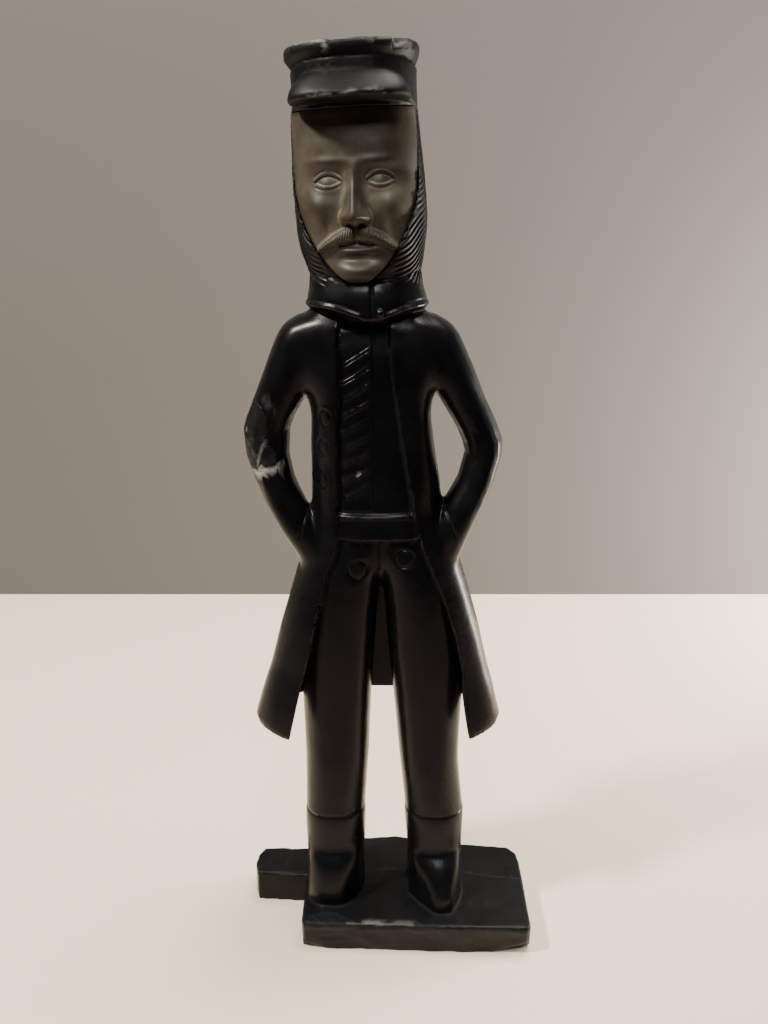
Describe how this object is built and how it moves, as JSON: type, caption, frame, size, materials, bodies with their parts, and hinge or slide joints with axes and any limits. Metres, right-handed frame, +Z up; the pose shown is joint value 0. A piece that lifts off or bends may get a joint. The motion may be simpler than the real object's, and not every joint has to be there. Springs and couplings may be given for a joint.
{
  "type": "carved captain figure",
  "caption": "Standing sea captain carved in black stone, hands in the coat pockets, with an inlaid pale stone face, on a broken slab base.",
  "frame": {"origin": "middle of the slab's bounding box, on the surface that it stands on", "axes": "+Z up; the figure faces -Y; +X is to the right of someone who looks at its face"},
  "size_m": [0.1444, 0.0719, 0.421],
  "materials": {
    "argillite": "polished near-black argillite with worn, chipped edges",
    "pale_stone": "satin olive-tan stone, browner in its hollows"
  },
  "bodies": {
    "root": {"argillite_figure": "argillite", "face_inlay": "pale_stone"}
  },
  "joints": []
}
